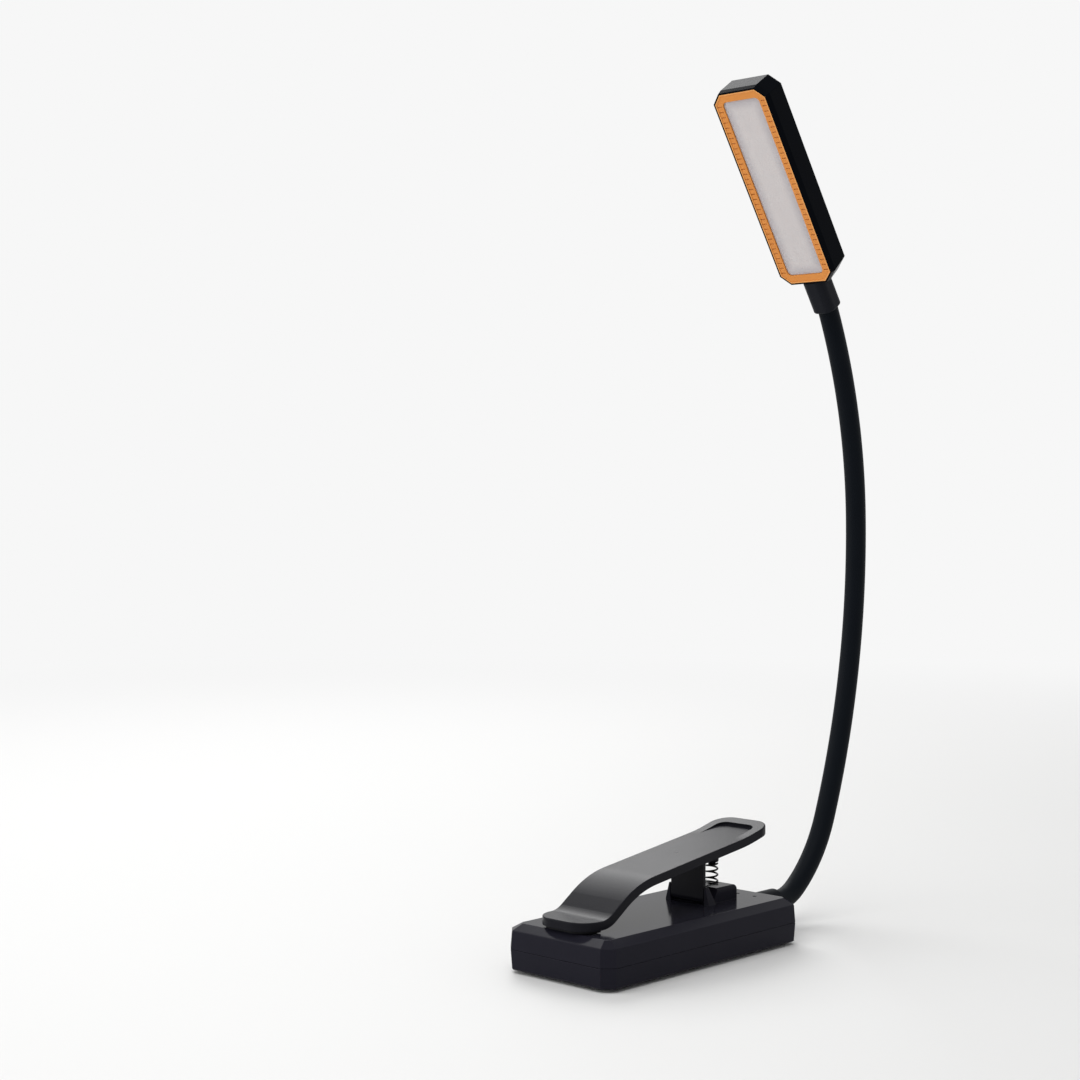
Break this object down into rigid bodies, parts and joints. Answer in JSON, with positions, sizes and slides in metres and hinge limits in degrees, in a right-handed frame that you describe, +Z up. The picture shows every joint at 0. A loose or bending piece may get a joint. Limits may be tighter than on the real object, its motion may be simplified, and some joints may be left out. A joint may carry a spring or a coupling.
{
  "type": "clip-on gooseneck book light",
  "caption": "Cordless clip lamp: flat box base with a sprung S-shaped clip lever, a slim gooseneck, and a long eight-sided head with an amber ring around a frosted window.",
  "frame": {"origin": "centre of the underside of the foot pad", "axes": "+X from the lever's toe towards the gooseneck, +Y to the side with the charging socket, +Z up"},
  "size_m": [0.1529, 0.042, 0.2726],
  "materials": {
    "shell_black": "satin black moulding",
    "lever_black": "satin black moulding",
    "rubber_black": "dull black rubber",
    "sleeve_black": "soft black silicone",
    "core_steel": "plain steel",
    "lead_wire": "red wire insulation",
    "screw_steel": "bright steel",
    "nut_brass": "plain brass",
    "socket_steel": "bright steel",
    "cell_wrap": "silver-grey film",
    "tape_white": "white foam tape",
    "board_green": "green solder mask",
    "board_white": "white solder mask",
    "chip_black": "matt black package",
    "chip_yellow": "yellow phosphor",
    "pipe_clear": "clear",
    "amber": "satin amber",
    "diffuser_white": "frosted",
    "frame_white": "white",
    "button_black": "satin black moulding",
    "plunger_white": "white"
  },
  "bodies": {
    "base": {"base_upper_shell": "shell_black", "base_lower_shell": "shell_black", "foot_pad": "rubber_black", "base_screws": "screw_steel", "battery_cell": "cell_wrap", "battery_tape": "tape_white", "main_board": "board_green", "board_components": "chip_black", "usb_socket": "socket_steel", "indicator_pipes": "pipe_clear", "neck_root_collar": "sleeve_black", "neck_root_ferrule": "core_steel", "neck_root_nut": "nut_brass", "hinge_pin": "screw_steel", "clip_spring": "screw_steel", "root_leads": "lead_wire"},
    "lever": {"clip_lever": "lever_black", "jaw_pad": "rubber_black"},
    "link_1": {"neck_core_1": "core_steel", "neck_sleeve_1": "sleeve_black", "neck_leads_1": "lead_wire"},
    "link_2": {"neck_core_2": "core_steel", "neck_sleeve_2": "sleeve_black", "neck_leads_2": "lead_wire"},
    "link_3": {"neck_core_3": "core_steel", "neck_sleeve_3": "sleeve_black", "neck_leads_3": "lead_wire"},
    "link_4": {"neck_core_4": "core_steel", "neck_sleeve_4": "sleeve_black", "neck_leads_4": "lead_wire"},
    "link_5": {"neck_core_5": "core_steel", "neck_sleeve_5": "sleeve_black", "neck_leads_5": "lead_wire"},
    "link_6": {"neck_core_6": "core_steel", "neck_sleeve_6": "sleeve_black", "neck_leads_6": "lead_wire"},
    "link_7": {"neck_core_7": "core_steel", "neck_sleeve_7": "sleeve_black", "neck_leads_7": "lead_wire"},
    "link_8": {"neck_core_8": "core_steel", "neck_sleeve_8": "sleeve_black", "neck_leads_8": "lead_wire"},
    "head": {"head_collar": "shell_black", "neck_head_ferrule": "core_steel", "head_housing": "shell_black", "amber_ring": "amber", "diffuser": "diffuser_white", "led_frame": "frame_white", "led_board": "board_white", "led_chips": "chip_yellow", "switch_case": "chip_black", "head_leads": "lead_wire"},
    "button": {"head_button": "button_black", "switch_plunger": "plunger_white"}
  },
  "joints": [
    {"name": "clip_open", "type": "hinge", "parent": "base", "child": "lever", "pos_m": [0.0164, 0, 0.0166], "axis": [0, 1, 0], "range_deg": [0, 20], "stiffness_Nm_per_rad": 0.29, "springref_deg": -16.04, "deforming": ["clip_spring"]},
    {"name": "neck_bend_1", "type": "hinge", "parent": "base", "child": "link_1", "pos_m": [0.0595, 0, 0.0082], "axis": [0, -1, 0], "range_deg": [-10, 14]},
    {"name": "neck_sway_1", "type": "hinge", "parent": "link_1", "child": "link_2", "pos_m": [0.08088, 0, 0.02207], "axis": [-0.8134, 0, 0.5817], "range_deg": [-12, 12]},
    {"name": "neck_bend_2", "type": "hinge", "parent": "link_2", "child": "link_3", "pos_m": [0.0915, 0, 0.04635], "axis": [0, -1, 0], "range_deg": [-10, 14]},
    {"name": "neck_sway_2", "type": "hinge", "parent": "link_3", "child": "link_4", "pos_m": [0.09844, 0, 0.07202], "axis": [-0.9776, 0, 0.2103], "range_deg": [-12, 12]},
    {"name": "neck_bend_3", "type": "hinge", "parent": "link_4", "child": "link_5", "pos_m": [0.10267, 0, 0.09828], "axis": [0, -1, 0], "range_deg": [-10, 14]},
    {"name": "neck_sway_3", "type": "hinge", "parent": "link_5", "child": "link_6", "pos_m": [0.10416, 0, 0.12484], "axis": [-1, 0, 0.004], "range_deg": [-12, 12]},
    {"name": "neck_bend_4", "type": "hinge", "parent": "link_6", "child": "link_7", "pos_m": [0.10256, 0, 0.15138], "axis": [0, -1, 0], "range_deg": [-10, 14]},
    {"name": "neck_sway_4", "type": "hinge", "parent": "link_7", "child": "link_8", "pos_m": [0.09697, 0, 0.17736], "axis": [-0.9585, 0, -0.285], "range_deg": [-12, 12]},
    {"name": "neck_bend_5", "type": "hinge", "parent": "link_8", "child": "head", "pos_m": [0.08745, 0, 0.20218], "axis": [0, -1, 0], "range_deg": [-10, 14]},
    {"name": "button_press", "type": "slide", "parent": "head", "child": "button", "axis": [-0.8271, 0, -0.5621], "range_m": [0, 0.0005], "stiffness_N_per_m": 800, "springref_m": -0.0005}
  ],
  "couplings": [
    {"joint": "neck_bend_2", "follows": "neck_bend_1", "ratio": 1},
    {"joint": "neck_sway_2", "follows": "neck_sway_1", "ratio": 1},
    {"joint": "neck_bend_3", "follows": "neck_bend_1", "ratio": 1},
    {"joint": "neck_sway_3", "follows": "neck_sway_1", "ratio": 1},
    {"joint": "neck_bend_4", "follows": "neck_bend_1", "ratio": 1},
    {"joint": "neck_sway_4", "follows": "neck_sway_1", "ratio": 1},
    {"joint": "neck_bend_5", "follows": "neck_bend_1", "ratio": 1}
  ]
}
